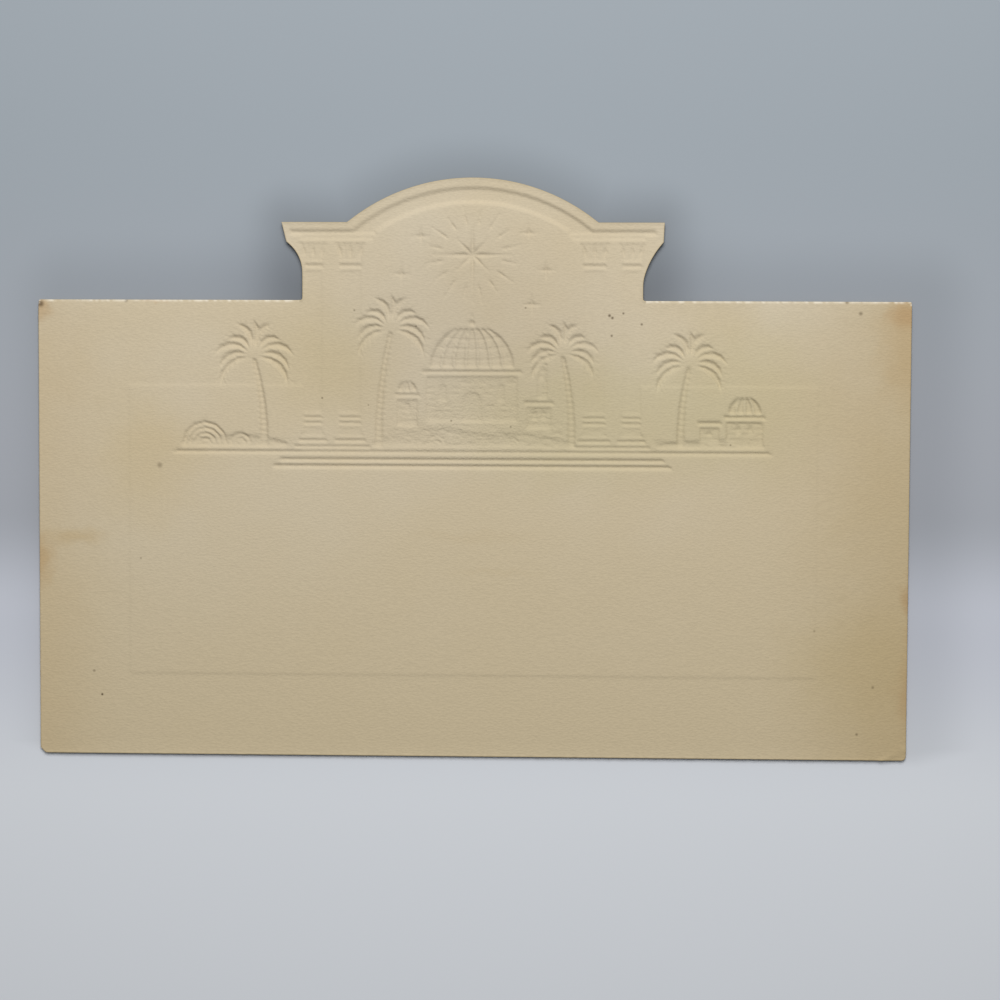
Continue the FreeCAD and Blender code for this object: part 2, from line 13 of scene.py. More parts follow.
import bmesh
import bpy
import numpy as np
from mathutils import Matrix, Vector
from mathutils.bvhtree import BVHTree
from mathutils.geometry import delaunay_2d_cdt


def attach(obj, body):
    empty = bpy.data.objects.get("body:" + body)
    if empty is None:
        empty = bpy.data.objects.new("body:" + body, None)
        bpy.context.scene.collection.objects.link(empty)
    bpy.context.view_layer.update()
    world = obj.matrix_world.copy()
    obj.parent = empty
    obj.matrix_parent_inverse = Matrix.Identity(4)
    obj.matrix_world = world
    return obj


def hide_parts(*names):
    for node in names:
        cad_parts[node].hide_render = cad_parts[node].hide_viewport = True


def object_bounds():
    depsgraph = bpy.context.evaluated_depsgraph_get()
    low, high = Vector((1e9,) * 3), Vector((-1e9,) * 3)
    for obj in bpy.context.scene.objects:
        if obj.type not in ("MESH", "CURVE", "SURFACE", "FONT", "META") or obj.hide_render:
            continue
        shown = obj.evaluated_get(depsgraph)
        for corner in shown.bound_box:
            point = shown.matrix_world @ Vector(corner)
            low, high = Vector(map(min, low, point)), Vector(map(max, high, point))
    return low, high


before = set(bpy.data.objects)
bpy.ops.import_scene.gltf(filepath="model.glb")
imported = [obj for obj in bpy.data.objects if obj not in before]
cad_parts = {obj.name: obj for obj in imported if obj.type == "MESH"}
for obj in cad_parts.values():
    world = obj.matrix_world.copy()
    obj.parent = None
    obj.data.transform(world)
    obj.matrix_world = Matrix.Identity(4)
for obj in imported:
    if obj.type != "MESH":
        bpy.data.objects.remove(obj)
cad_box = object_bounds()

MM = 0.001
solid_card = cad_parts["card"]
half_width = (cad_box[1].x - cad_box[0].x) / 2 / MM
half_height = (cad_box[1].y - cad_box[0].y) / 2 / MM
print("card", round(2 * half_width, 1), "by", round(2 * half_height, 1), "mm")

# %% [markdown]
# Three helpers serve every step. Colours are written as the screen shows them, and one
# function turns them into the linear light that a shader works in. One function adds a node
# with its settings and its links, so a tree reads as a list of what feeds what. One adds a
# named input to a tree, so that its sizes can be changed without opening it.

# %% Helpers for colours and nodes
def linear(colour):
    """An sRGB hex colour as the linear values that a shader takes."""
    parts = [int(colour[start:start + 2], 16) / 255 for start in (1, 3, 5)]
    light = [c / 12.92 if c <= 0.04045 else ((c + 0.055) / 1.055) ** 2.4 for c in parts]
    return (*light, 1.0)


def add(tree, kind, settings=None, inputs=None):
    """Adds a node. Each input is a value or the socket that feeds it."""
    made = tree.nodes.new(kind)
    for name, value in (settings or {}).items():
        setattr(made, name, value)
    for name, value in (inputs or {}).items():
        if isinstance(value, bpy.types.NodeSocket):
            tree.links.new(value, made.inputs[name])
        else:
            made.inputs[name].default_value = value
    return made


def tree_input(tree, name, kind):
    return tree.interface.new_socket(name=name, in_out="INPUT", socket_type="NodeSocket" + kind)


print("half of the screen's range is", round(linear("#808080")[0], 3), "of its light")

# %% [markdown]
# ## The camera
# The photo was taken almost squarely over the card. The four corners of its plain body and
# the top of its arch fix the view: a long lens 349 mm above the back, a little to the right
# and above the middle, tilted by about three degrees. It is set first, because all that
# follows is judged through it.

# %% Camera
SHEET_BACK = 0.90           # height of the card's back over the floor, mm
SHEET_FRONT = 0.40          # height of its plain front: only pressed forms reach the floor
FOCAL_LENGTH = 72.0         # with a sensor as wide as 35 mm film, in mm
SENSOR_WIDTH = 36.0
CAMERA_AT = (15.49, 10.22, 349.21 + SHEET_BACK)      # mm
CAMERA_TURN = (-2.551, 1.733, 0.270)                 # degrees

lens = bpy.data.cameras.new("camera")
lens.lens = FOCAL_LENGTH
lens.sensor_width = SENSOR_WIDTH
lens.clip_start = 0.01
camera = bpy.data.objects.new("camera", lens)
camera.location = [c * MM for c in CAMERA_AT]
camera.rotation_euler = [math.radians(angle) for angle in CAMERA_TURN]
bpy.context.scene.collection.objects.link(camera)
bpy.context.scene.camera = camera
bpy.context.scene.view_settings.view_transform = "Standard"
print("camera", [round(c, 4) for c in camera.location])

# %% [markdown]
# ## The floor and the light
# The card lies on a plain pale blue-grey table, a sweep of matt paper. Shade is painted into
# its colour: darker behind the arch and paler towards the viewer, going slowly from one to the
# other, as a wall in shade would be. A painted shadow darkens it round the card too, most of
# all in the two notches beside the crown, where the card would keep off the light of the room.

# %% Places on the card that the floor's painted shadow follows
BODY_TOP = half_height - 21.3        # the top edge of the plain body, in mm as all of these
NECK = 29.7                          # half the width of the crown's neck
CORNICE_TOP = half_height - 7.75
ARCH_RADIUS = 34.8
ARCH_CENTRE = half_height - ARCH_RADIUS
print("body top", round(BODY_TOP, 2), "cornice top", round(CORNICE_TOP, 2))

# %% Floor material, with painted shade and painted shadow
def floor_material():
    made = bpy.data.materials.new("paper_sweep_with_painted_shade")
    made.use_nodes = True
    tree = made.node_tree
    shader = tree.nodes["Principled BSDF"]
    shader.inputs["Roughness"].default_value = 0.9
    shader.inputs["Specular IOR Level"].default_value = 0.1
    place = add(tree, "ShaderNodeTexCoord").outputs["Object"]
    axes = add(tree, "ShaderNodeSeparateXYZ", inputs={"Vector": place})

    def turned(low, high, first, second):
        """A colour that is first below y = low on the floor and second past high, in mm."""
        share = add(tree, "ShaderNodeMapRange", {"interpolation_type": "SMOOTHSTEP"},
                    {"Value": axes.outputs["Y"], "From Min": low * MM, "From Max": high * MM})
        return add(tree, "ShaderNodeMix", {"data_type": "RGBA"},
                   {0: share.outputs["Result"], 6: first, 7: second}).outputs[2]

    def beyond_box(middle, halves):
        """How far a floor point lies outside a box, in metres."""
        off = add(tree, "ShaderNodeVectorMath", {"operation": "SUBTRACT"},
                  {0: place, 1: (middle[0] * MM, middle[1] * MM, 0.0)})
        off = add(tree, "ShaderNodeVectorMath", {"operation": "ABSOLUTE"},
                  {0: off.outputs["Vector"]})
        off = add(tree, "ShaderNodeVectorMath", {"operation": "SUBTRACT"},
                  {0: off.outputs["Vector"], 1: (halves[0] * MM, halves[1] * MM, 0.0)})
        off = add(tree, "ShaderNodeVectorMath", {"operation": "MAXIMUM"},
                  {0: off.outputs["Vector"], 1: (0.0, 0.0, 0.0)})
        off = add(tree, "ShaderNodeVectorMath", {"operation": "LENGTH"},
                  {0: off.outputs["Vector"]})
        return off.outputs["Value"]

    def painted_shadow(under, distance, reach, darkest, kind="SMOOTHSTEP"):
        """Paints a shadow: darkens a colour, most where the distance is least. The reach is in mm.
        """
        shade = add(tree, "ShaderNodeMapRange", {"interpolation_type": kind},
                    {"Value": distance, "From Min": reach[0] * MM, "From Max": reach[1] * MM,
                     "To Min": darkest, "To Max": 1.0})
        grey = add(tree, "ShaderNodeCombineColor", inputs={
            name: shade.outputs["Result"] for name in ("Red", "Green", "Blue")})
        return add(tree, "ShaderNodeMix", {"data_type": "RGBA", "blend_type": "MULTIPLY"},
                   {0: 1.0, 6: under, 7: grey.outputs[0]}).outputs[2]

    # Painted shade: from the viewer's side to beyond the arch it goes from palest to darkest.
    near = turned(-60, -26, linear("#CBCED2"), linear("#B6B9C1"))
    tone = turned(-26, -7, near, linear("#999CA2"))
    tone = turned(-5, 62, tone, linear("#8F969C"))

    # Painted shadow: round the body, shorter before it, round the crown, deepest in the notches.
    body_middle = (BODY_TOP - half_height) / 2
    round_body = beyond_box((3.5, body_middle), (half_width - 2.0, BODY_TOP - body_middle))
    fading = 3.0            # each mm before the card counts this many times more
    before_card = add(tree, "ShaderNodeMath", {"operation": "SUBTRACT"},
                      {0: -half_height * MM + 2 * MM, 1: axes.outputs["Y"]})
    before_card = add(tree, "ShaderNodeMath", {"operation": "MAXIMUM"},
                      {0: before_card.outputs[0], 1: 0.0})
    reached = add(tree, "ShaderNodeMath", {"operation": "MULTIPLY_ADD"},
                  {0: before_card.outputs[0], 1: fading, 2: round_body})
    tone = painted_shadow(tone, reached.outputs[0], (1.0, 13.0), 0.87)

    round_arch = add(tree, "ShaderNodeVectorMath", {"operation": "DISTANCE"},
                     {0: place, 1: (0.0, ARCH_CENTRE * MM, 0.0)})
    round_arch = add(tree, "ShaderNodeMath", {"operation": "SUBTRACT"},
                     {0: round_arch.outputs["Value"], 1: ARCH_RADIUS * MM})
    round_crown = beyond_box((0.0, BODY_TOP), (NECK + 2.5, CORNICE_TOP - BODY_TOP))
    nearer = add(tree, "ShaderNodeMath", {"operation": "MINIMUM"},
                 {0: round_arch.outputs[0], 1: round_crown})
    tone = painted_shadow(tone, nearer.outputs[0], (-1.0, 9.0), 0.78)
    for side in (-1, 1):
        notch = add(tree, "ShaderNodeVectorMath", {"operation": "DISTANCE"},
                    {0: place, 1: (side * NECK * MM, (BODY_TOP + 2.0) * MM, 0.0)})
        tone = painted_shadow(tone, notch.outputs["Value"], (-16.0, 24.0), 0.62, "SMOOTHERSTEP")
    tree.links.new(tone, shader.inputs["Base Color"])
    return made


sweep = floor_material()
print(sweep.name, "of", len(sweep.node_tree.nodes), "nodes")

# %% Floor
FLOOR_HALF = 2000.0         # mm
FLOOR_DROP = 0.01           # keeps the floor clear of the faces that rest on it, mm
floor_mesh = bpy.data.meshes.new("floor")
floor_corners = [(x * FLOOR_HALF * MM, y * FLOOR_HALF * MM, -FLOOR_DROP * MM)
                 for x, y in ((-1, -1), (1, -1), (1, 1), (-1, 1))]
floor_mesh.from_pydata(floor_corners, [], [(0, 1, 2, 3)])
floor = bpy.data.objects.new("floor", floor_mesh)
floor_mesh.materials.append(sweep)
bpy.context.scene.collection.objects.link(floor)
print("floor", round(floor.dimensions.x, 1), "m wide")

# %% [markdown]
# One soft lamp stands beyond the arch. It is about 57 degrees up, so it shades the upper wall
# of every sunk form and lights the lower wall. The world fills the shadows from all round. It
# is seen as a pale wall by the camera and in reflections, and is weaker as a light.

# %% Lamp and world
def soft_lamp(name, azimuth, elevation, distance, size, power):
    """A square lamp that faces the card. Azimuth 0 is beyond the arch, clockwise from above."""
    turn, rise = math.radians(azimuth), math.radians(elevation)
    level = math.cos(rise)
    way = Vector((math.sin(turn) * level, math.cos(turn) * level, math.sin(rise)))
    light = bpy.data.lights.new(name, "AREA")
    light.size = size
    light.energy = power
    lamp = bpy.data.objects.new(name, light)
    lamp.location = way * distance
    lamp.rotation_euler = way.to_track_quat("Z", "Y").to_euler()
    bpy.context.scene.collection.objects.link(lamp)
    return lamp


soft_lamp("lamp_beyond", azimuth=4, elevation=57, distance=0.50, size=0.32, power=3.05)
world = bpy.data.worlds.new("pale_room")
world.use_nodes = True
bpy.context.scene.world = world
room = world.node_tree
fill = room.nodes["Background"]
fill.inputs["Color"].default_value = linear("#EEF1F6")
fill.inputs["Strength"].default_value = 0.23
seen = add(room, "ShaderNodeBackground", inputs={"Color": linear("#C4CAD0"), "Strength": 1.0})
paths = add(room, "ShaderNodeLightPath")
by_eye = add(room, "ShaderNodeMath", {"operation": "MAXIMUM"},
             {0: paths.outputs["Is Camera Ray"], 1: paths.outputs["Is Glossy Ray"]})
by_eye = add(room, "ShaderNodeMath", {"operation": "MAXIMUM"},
             {0: by_eye.outputs[0], 1: paths.outputs["Is Transmission Ray"]})
either = add(room, "ShaderNodeMixShader",
             inputs={0: by_eye.outputs[0], 1: fill.outputs[0], 2: seen.outputs[0]})
room.links.new(either.outputs[0], room.nodes["World Output"].inputs["Surface"])

# %% [markdown]
# ## The cut outline
# The die's cut is the only upright wall as tall as the sheet, so its edge can be read from the
# solid. It could be drawn anew, but then the scene and the part might drift apart. The arcs
# come as short straight runs. They are divided evenly and eased a little, while true corners
# stay sharp.

# %% Read the outline
def solid_in_mm():
    shape = bmesh.new()
    shape.from_mesh(solid_card.data)
    bmesh.ops.scale(shape, vec=(1 / MM, 1 / MM, 1 / MM), verts=shape.verts)
    bmesh.ops.remove_doubles(shape, verts=shape.verts, dist=0.001)
    return shape


def cut_outline(shape):
    """The corners of the back's cut edge, anticlockwise, in mm."""
    nearly = 0.01
    onward = {}
    for edge in shape.edges:
        if any(abs(vert.co.z - SHEET_BACK) > nearly for vert in edge.verts):
            continue
        for face in edge.link_faces:
            heights = [vert.co.z for vert in face.verts]
            tall = max(heights) - min(heights) > SHEET_BACK - SHEET_FRONT - nearly
            if tall and abs(face.normal.z) < nearly:
                near, far = [vert.index for vert in edge.verts]
                onward.setdefault(near, []).append(far)
                onward.setdefault(far, []).append(near)
    shape.verts.ensure_lookup_table()
    start = min(onward)
    loop, before = [start], None
    while True:
        after = [index for index in onward[loop[-1]] if index != before][0]
        before = loop[-1]
        if after == start:
            break
        loop.append(after)
    points = np.array([shape.verts[index].co.xy for index in loop])
    following = np.roll(points, -1, axis=0)
    area = np.sum(points[:, 0] * following[:, 1] - following[:, 0] * points[:, 1])
    return points if area > 0 else points[::-1]


def evenly(points, pitch):
    """The outline with long runs divided, and with every bend but true corners eased."""
    corner = math.radians(25)        # a bend past this is a true corner
    into = points - np.roll(points, 1, axis=0)
    out = np.roll(points, -1, axis=0) - points
    turn = np.arctan2(into[:, 0] * out[:, 1] - into[:, 1] * out[:, 0], (into * out).sum(axis=1))
    made, fixed = [], []
    for index, point in enumerate(points):
        runs = max(1, round(np.linalg.norm(out[index]) / pitch))
        for step in range(runs):
            made.append(point + out[index] * step / runs)
            fixed.append(step == 0 and abs(turn[index]) > corner)
    made, fixed = np.array(made), np.array(fixed)[:, None]
    for _ in range(3):
        eased = (np.roll(made, 1, axis=0) + 2 * made + np.roll(made, -1, axis=0)) / 4
        made = np.where(fixed, made, eased)
    return made


def moved_in(points, distance):
    """The outline moved inwards, with mitred corners."""
    ways = np.roll(points, -1, axis=0) - points
    ways /= np.linalg.norm(ways, axis=1)[:, None]
    left = np.column_stack([-ways[:, 1], ways[:, 0]])
    before = np.roll(left, 1, axis=0)
    spread = 1 + (left * before).sum(axis=1)[:, None]
    return points + (left + before) * distance / np.maximum(spread, 0.5)


EDGE_PITCH = 0.5            # between points along the cut, mm
solid_shape = solid_in_mm()
outline = evenly(cut_outline(solid_shape), EDGE_PITCH)
cut_length = np.linalg.norm(np.roll(outline, -1, axis=0) - outline, axis=1).sum()
print("outline points", len(outline), "cut length", round(cut_length, 1), "mm")

# %% [markdown]
# ## The fine lines of the engraving
# The plate's larger forms are in the solid. Its finest lines, no wider than a pen stroke, are
# drawn here: leaflets on the palms, scars on their trunks, joints between the stones, folds
# of ground, rays of the star and flutes on the columns. Each line is a run of short edges
# that lie as deep as the plate pressed them, and the press further on sinks the sheet along
# them. Heights in the picture are counted from the line of ground that it stands on.

# %% Lines on the palms
GROUND = BODY_TOP - 25.68   # the line that the picture stands on
SCAR_PITCH, SCAR_DEPTH = 0.95, 0.19
RIB_DEPTH, LEAFLET_DEPTH = 0.16, 0.21
draw = random.Random(1923)
fine_lines = []


def scribe(points, depth):
    """Keeps one line of the engraving. Its points and its depth are in mm."""
    fine_lines.append(([Vector(point) for point in points], depth))


def bowed(start, end, sag, steps):
    """Points on a shallow bow from start to end that sags to its left."""
    start, end = Vector(start), Vector(end)
    aside = Vector((start.y - end.y, end.x - start.x)).normalized()
    points = []
    for step in range(steps + 1):
        share = step / steps
        points.append(start.lerp(end, share) + aside * (sag * 4 * share * (1 - share)))
    return points


def palm_lines(foot, height, lean, crown):
    """Scars up the trunk, and leaflets along each frond's rib."""
    top = Vector((foot + lean, GROUND + height))
    scars = int(height / SCAR_PITCH)
    for scar in range(1, scars):
        share = scar / scars
        middle = Vector((foot + lean * share, GROUND + height * share))
        middle.x -= lean * 0.7 * share * (1 - share)         # the trunk's own bow
        half = 0.75 - 0.3 * share                            # and its taper
        left, right = middle + Vector((-half, 0.1)), middle + Vector((half, -0.1))
        scribe(bowed(left, right, -0.15, 3), SCAR_DEPTH)
    heart = top + Vector((0, 0.9))
    fronds, fan = 11, 250.0     # how many, and the degrees that they spread over
    shorter = 0.14              # every other frond is shorter by this share
    stalk = 0.16                # the share of a frond that bears no leaflets
    droop = 0.30                # how far a level frond's tip hangs, as a share of it
    steps = 12                  # in each rib
    for index in range(fronds):
        turn = math.radians(fan * (index / (fronds - 1) - 0.5))
        reach = crown * (1.0 - shorter * (index % 2))
        way = Vector((math.sin(turn), math.cos(turn)))
        side = 1 if way.x > 0 else -1
        root = heart + way * crown * stalk
        tip = heart + Vector((way.x * reach, way.y * reach * 0.92 - droop * reach * abs(way.x)))
        arch = side * reach * (0.10 + 0.12 * abs(way.x))
        rib = bowed(root, tip, arch, steps)
        scribe(rib, RIB_DEPTH)
        for step in range(2, steps, 2):
            along = (rib[step + 1] - rib[step - 1]).normalized()
            length = 0.65 + 1.05 * math.sin(math.pi * step / (steps + 1))
            for aside in (-1, 1):
                splayed = Vector((-along.y, along.x)) * aside * 0.8 + along * 0.7
                hang = splayed.normalized() + Vector((0, -0.25))
                leaflet = hang * length * draw.uniform(0.8, 1.1)
                scribe([rib[step], rib[step] + leaflet], LEAFLET_DEPTH)


# Each palm: where its foot is, its height, how far its head leans and how long a frond is.
PALMS = [(-16.2, 20.2, 2.0, 7.0), (17.4, 16.0, -1.6, 6.6),
         (-36.4, 15.5, -1.8, 7.2), (36.4, 14.2, 1.4, 6.8)]
for palm in PALMS:
    palm_lines(*palm)
print("lines on the palms", len(fine_lines))

# %% Lines on the town, the ground and the columns
STONE_DEPTH, DOME_DEPTH, BLADE_DEPTH, RAY_DEPTH, GLINT_DEPTH = 0.15, 0.12, 0.18, 0.15, 0.10


def courses(left, right, foot, top, openings=()):
    """Short runs of the joints between stones, clear of doors and windows."""
    height = foot + 0.9
    while height < top - 0.3:
        x = left + draw.uniform(0.2, 1.2)
        while x < right - 0.5:
            end = min(x + draw.uniform(0.7, 2.0), right - 0.2)
            blocked = any(x < side + 1.0 and end > side - 1.0 and low < height < high
                          for side, low, high in openings)
            if not blocked:
                scribe([(x, height), (end, height + draw.uniform(-0.05, 0.05))], STONE_DEPTH)
            x = end + draw.uniform(0.6, 1.8)
        height += draw.uniform(0.9, 1.15)


# Walls, windows and the door stand where the solid has them.
hall_floor = GROUND + 4.4
windows = [(side * 5.1, hall_floor + 3.3, hall_floor + 7.1) for side in (-1, 1)]
door = [(-1.0, hall_floor, hall_floor + 5.9), (1.0, hall_floor, hall_floor + 5.9)]
courses(-8.1, 8.1, hall_floor, hall_floor + 8.2, windows + door)
courses(-13.2, -9.4, hall_floor - 0.7, hall_floor + 4.1)
courses(9.4, 14.0, hall_floor - 1.1, hall_floor + 2.8)
courses(11.3, 13.3, hall_floor + 4.2, hall_floor + 10.6)
courses(39.6, 43.2, GROUND + 0.8, GROUND + 3.8)
courses(44.2, 50.8, GROUND + 0.6, GROUND + 4.8)
dome_floor = hall_floor + 9.55
DOME_HALF, DOME_HEIGHT = 7.3, 7.5
for share in (0.25, 0.5, 0.72):
    half = DOME_HALF * math.sqrt(1 - share ** 2)
    height = dome_floor + DOME_HEIGHT * share
    scribe(bowed((-half, height), (half, height), -0.5, 16), DOME_DEPTH)


def ground_lines(left, right, low, high, count):
    """Low folds, stones and tufts, denser near the foot of the picture."""
    for _ in range(count):
        x = draw.uniform(left, right)
        y = low + (high - low) * draw.random() ** 1.6
        run = draw.uniform(0.8, 3.2)
        sag = draw.uniform(-0.12, 0.30)
        end = (min(x + run, right), y + draw.uniform(-0.35, 0.35))
        scribe(bowed((x, y), end, sag, 4), draw.uniform(0.12, 0.26))
    for _ in range(count // 3):
        x = draw.uniform(left, right - 0.6)
        y = draw.uniform(low, (low + high) / 2)
        for blade in (-0.5, 0.0, 0.5):
            tip = (x + blade, y + draw.uniform(0.5, 0.8))
            scribe([(x + blade * 0.3, y), tip], BLADE_DEPTH)


ground_lines(-16.0, 15.8, GROUND + 0.3, GROUND + 4.2, 60)
ground_lines(-51.0, -31.8, GROUND + 0.2, GROUND + 2.2, 26)
ground_lines(31.8, 50.5, GROUND + 0.2, GROUND + 1.8, 22)

# The star has long and short rays in turn, a ring of fine ones, and small crosses round it.
STAR = Vector((0.0, GROUND + 33.6))
for index, reach in enumerate((6.8, 3.8, 6.8, 3.8, 8.2, 3.8, 6.8, 3.8)):
    turn = math.radians(45 * index)
    scribe([STAR, STAR + Vector((math.sin(turn), math.cos(turn))) * reach], RAY_DEPTH)
for index in range(16):
    turn = math.radians(22.5 * (index + 0.5))
    way = Vector((math.sin(turn), math.cos(turn)))
    scribe([STAR + way * 5.2, STAR + way * (7.6 + 0.9 * (index % 2))], RAY_DEPTH)
for x, y in ((-12.4, -3.4), (-9.0, 3.2), (9.8, 3.8), (12.8, -2.6), (10.4, -8.6)):
    for arm in (Vector((1.5, 0)), Vector((0, 1.5))):
        glint = STAR + Vector((x, y))
        scribe([glint - arm, glint + arm], GLINT_DEPTH)

COLUMNS = ((27.8, 3.4), (21.3, 4.0))        # middle and width of each shaft
SHAFT_FOOT, SHAFT_HEAD = 9.7, 34.4
CAPITAL_FOOT, CAPITAL_HEAD = 36.3, 39.2
FLUTE_DEPTH, CAPITAL_DEPTH = 0.04, 0.11
for side in (-1, 1):
    for centre, width in COLUMNS:
        for flute in (-0.25, 0.0, 0.25):
            x = side * centre + flute * width
            halfway = (SHAFT_FOOT + SHAFT_HEAD) / 2
            scribe([(x, SHAFT_FOOT), (x, halfway), (x, SHAFT_HEAD)], FLUTE_DEPTH)
        for leaf in (-0.4, -0.2, 0.0, 0.2, 0.4):
            x = side * centre + leaf * width
            scribe([(x, CAPITAL_FOOT), (x + leaf * 1.6, CAPITAL_HEAD)], CAPITAL_DEPTH)
print("lines in all", len(fine_lines))

# %% The engraving as edges
def line_mesh(lines):
    """One mesh of bare edges. Each lies as deep as the plate pressed it."""
    faded = 0.4             # the share of its depth that a longer line keeps at its ends
    points, edges = [], []
    for run, depth in lines:
        start = len(points)
        for index, point in enumerate(run):
            fades = len(run) > 2 and index in (0, len(run) - 1)
            sunk = depth * (faded if fades else 1)
            points.append((point.x * MM, point.y * MM, -sunk * MM))
        edges += [(start + index, start + index + 1) for index in range(len(run) - 1)]
    mesh = bpy.data.meshes.new("fine_lines")
    mesh.from_pydata(points, edges, [])
    made = bpy.data.objects.new("fine_lines", mesh)
    bpy.context.scene.collection.objects.link(made)
    return made


engraving = line_mesh(fine_lines)
print("edges", len(engraving.data.edges))

# %% [markdown]
# ## The flat blank
# A sheet needs many faces where it bends and few where it is flat. An even grid that is fine
# enough for the pen strokes would spend most of its faces on plain card. So the solid is
# sounded with rays on a fine square lattice. Where the height changes between neighbours, or
# a fine line runs, every lattice point is kept, further off and at the corners every third,
# and on the plain card every twelfth. A Delaunay triangulation joins them to the outline. The
# back and the front each get such a blank, with the same points along the cut.

# %% Sound the solid
def lattice(pitch):
    xs = np.arange(-half_width + pitch / 2, half_width, pitch)
    ys = np.arange(-half_height + pitch / 2, half_height, pitch)
    return xs, ys


def soundings(tree, xs, ys, side):
    """Heights of the back (side 1) or the front (side -1), in mm; not a number off the card."""
    far = 5.0               # well clear of the sheet, mm
    way = Vector((0, 0, -side))
    heights = np.full((len(ys), len(xs)), np.nan)
    for row, y in enumerate(ys):
        for column, x in enumerate(xs):
            hit = tree.ray_cast(Vector((x, y, far * side)), way)[0]
            if hit:
                heights[row, column] = hit.z
    return heights


def grown(mask, cells):
    """The mask with its true cells spread sideways, then up and down."""
    for _ in range(cells):
        wide = mask.copy()
        wide[:, 1:] |= mask[:, :-1]
        wide[:, :-1] |= mask[:, 1:]
        mask = wide.copy()
        mask[1:] |= wide[:-1]
        mask[:-1] |= wide[1:]
    return mask


def busy_cells(heights, xs, ys, pitch):
    """Where the sheet bends: at pressed walls and along the fine lines."""
    least_step = 0.006      # a change of height between neighbours that counts, mm
    faint = 0.05            # a line less deep than this needs no points of its own, mm
    busy = np.zeros(heights.shape, bool)
    with np.errstate(invalid="ignore"):
        across = np.abs(np.diff(heights, axis=1)) > least_step
        along = np.abs(np.diff(heights, axis=0)) > least_step
    busy[:, 1:] |= across
    busy[:, :-1] |= across
    busy[1:] |= along
    busy[:-1] |= along
    for run, depth in fine_lines:
        if depth < faint:
            continue
        for near, far in zip(run, run[1:]):
            steps = max(1, int((far - near).length / pitch * 1.5))
            for step in range(steps + 1):
                spot = near.lerp(far, step / steps)
                row, column = (spot.y - ys[0]) / pitch, (spot.x - xs[0]) / pitch
                busy[int(row + 0.5), int(column + 0.5)] = True
    return grown(busy, 1)


card_tree = BVHTree.FromBMesh(solid_shape)
print("sounding a solid of", len(solid_shape.faces), "faces")

# %% Join the points
def blank(name, pitch, side, tree):
    """A flat triangulated sheet, and where the rings along its outline are in it."""
    xs, ys = lattice(pitch)
    heights = soundings(tree, xs, ys, side)
    off_card = np.pad(np.isnan(heights), 1, constant_values=True)
    clear = ~grown(off_card, math.ceil(RIM_MARGIN / pitch))[1:-1, 1:-1]
    busy = busy_cells(heights, xs, ys, pitch)
    around = grown(busy, AROUND_CELLS)
    rows, columns = np.indices(heights.shape)
    fine = (rows % FINE_STEP == 1) & (columns % FINE_STEP == 1)
    plain = (rows % PLAIN_STEP == 1) & (columns % PLAIN_STEP == 1)
    worn = np.zeros(heights.shape, bool)
    for x in (-half_width, half_width):
        for y in (-half_height, BODY_TOP):
            worn |= np.hypot(xs[None, :] - x, ys[:, None] - y) < WORN_REACH
    keep = clear & (busy | ((around | worn) & fine) | plain)
    inner = np.column_stack([xs[np.nonzero(keep)[1]], ys[np.nonzero(keep)[0]]])
    rim = moved_in(outline, RIM_RADIUS)
    supports = [moved_in(outline, distance) for distance in BURR_RINGS]
    points = [Vector(point) for point in np.vstack([rim] + supports + [inner])]
    closeness = 1e-5
    verts, _, faces, origins, _, _ = delaunay_2d_cdt(
        points, [], [list(range(len(rim)))], 1, closeness)
    place = {source: index for index, sources in enumerate(origins) for source in sources}
    mesh = bpy.data.meshes.new(name)
    mesh.from_pydata([(vert.x * MM, vert.y * MM, 0) for vert in verts], [], faces)
    if mesh.polygons[0].normal.z * side < 0:
        mesh.flip_normals()
    made = bpy.data.objects.new(name, mesh)
    bpy.context.scene.collection.objects.link(made)
    print(name, "points", len(verts), "faces", len(faces))
    rings = [[place[start + index] for index in range(len(rim))] for start in (0, len(rim))]
    return made, rings


RIM_RADIUS = 0.07           # how far the die rounds each lip of the cut, mm
BURR_RINGS = (0.28, 0.52)   # how far in from the cut the sheet is held to shape
RIM_MARGIN = 0.66           # the lattice keeps this far off the cut
WORN_REACH = 7.0            # and is finer this far round each corner
AROUND_CELLS = 5            # and this many cells round each wall and line
FINE_STEP, PLAIN_STEP = 3, 12       # every such point is kept there, and on plain card
BACK_PITCH, FRONT_PITCH = 0.22, 0.36        # of each lattice, mm
back_blank, (back_loop, back_shoulder) = blank("back_blank", BACK_PITCH, 1, card_tree)
front_blank, (front_loop, _) = blank("front_blank", FRONT_PITCH, -1, card_tree)

# %% [markdown]
# ## The press
# This is what the embossing press does, as a tree of nodes. A picture of heights could push
# the sheet too, but it would have to be drawn first, and the solid already holds the heights.
# Every point of a blank is dropped on to the solid by a ray, from above or from below. The
# heights are then blurred with those of neighbouring points, as the felted sheet can't follow
# a sharp wall. Last, the nearest fine line pulls each point down, most at the line and not at
# all a stroke's half width away, and nothing goes below the table. Both faces go through the
# same press, so the sheet keeps its thickness.

